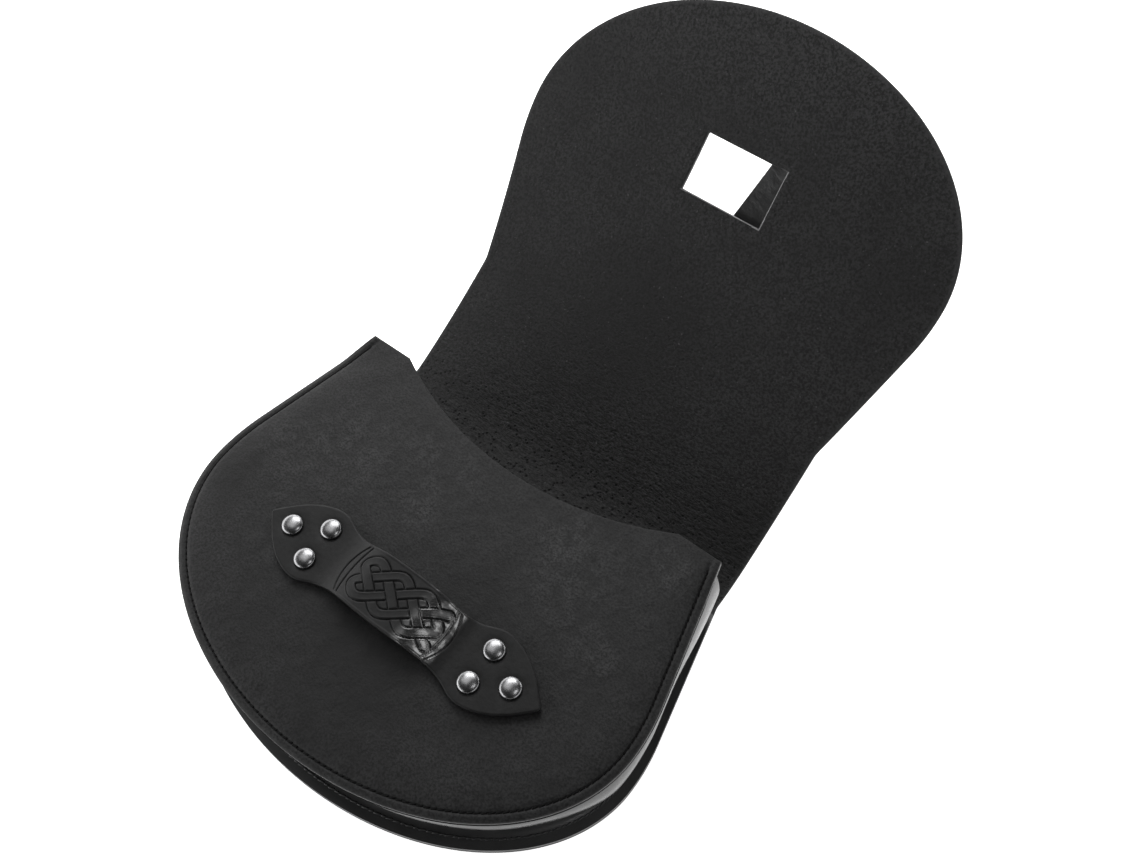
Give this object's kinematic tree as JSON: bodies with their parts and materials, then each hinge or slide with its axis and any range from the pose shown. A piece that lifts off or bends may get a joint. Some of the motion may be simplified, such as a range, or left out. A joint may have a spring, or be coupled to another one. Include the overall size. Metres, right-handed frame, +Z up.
{
  "type": "leather belt pouch",
  "caption": "D-shaped leather belt pouch lying open on its back, with a gusset between front and back, a windowed flap and a riveted closing hump.",
  "frame": {"origin": "middle of the footprint, on the surface that the pouch lies on", "axes": "+X across the pouch, +Y from its round bottom towards the end of the open flap, +Z up from the surface that it lies on"},
  "size_m": [0.2298, 0.3612, 0.1595],
  "materials": {
    "flesh_side_leather": "black, matt and finely pitted, with faint wrinkles at the fold",
    "matt_leather": "black, matt and faintly mottled",
    "smooth_leather": "black, smooth and glossy",
    "strap_leather": "black, half matt",
    "thread": "black waxed thread",
    "dark_nickel": "darkened nickel, polished"
  },
  "bodies": {
    "root": {"back_and_flap": "flesh_side_leather", "front_panel": "matt_leather", "gusset": "smooth_leather", "closure_loop": "strap_leather", "closing_strap": "strap_leather", "belt_loop_left": "matt_leather", "belt_loop_right": "matt_leather", "rivet_left_outer": "dark_nickel", "rivet_left_upper": "dark_nickel", "rivet_left_lower": "dark_nickel", "rivet_right_outer": "dark_nickel", "rivet_right_upper": "dark_nickel", "rivet_right_lower": "dark_nickel"}
  },
  "joints": []
}
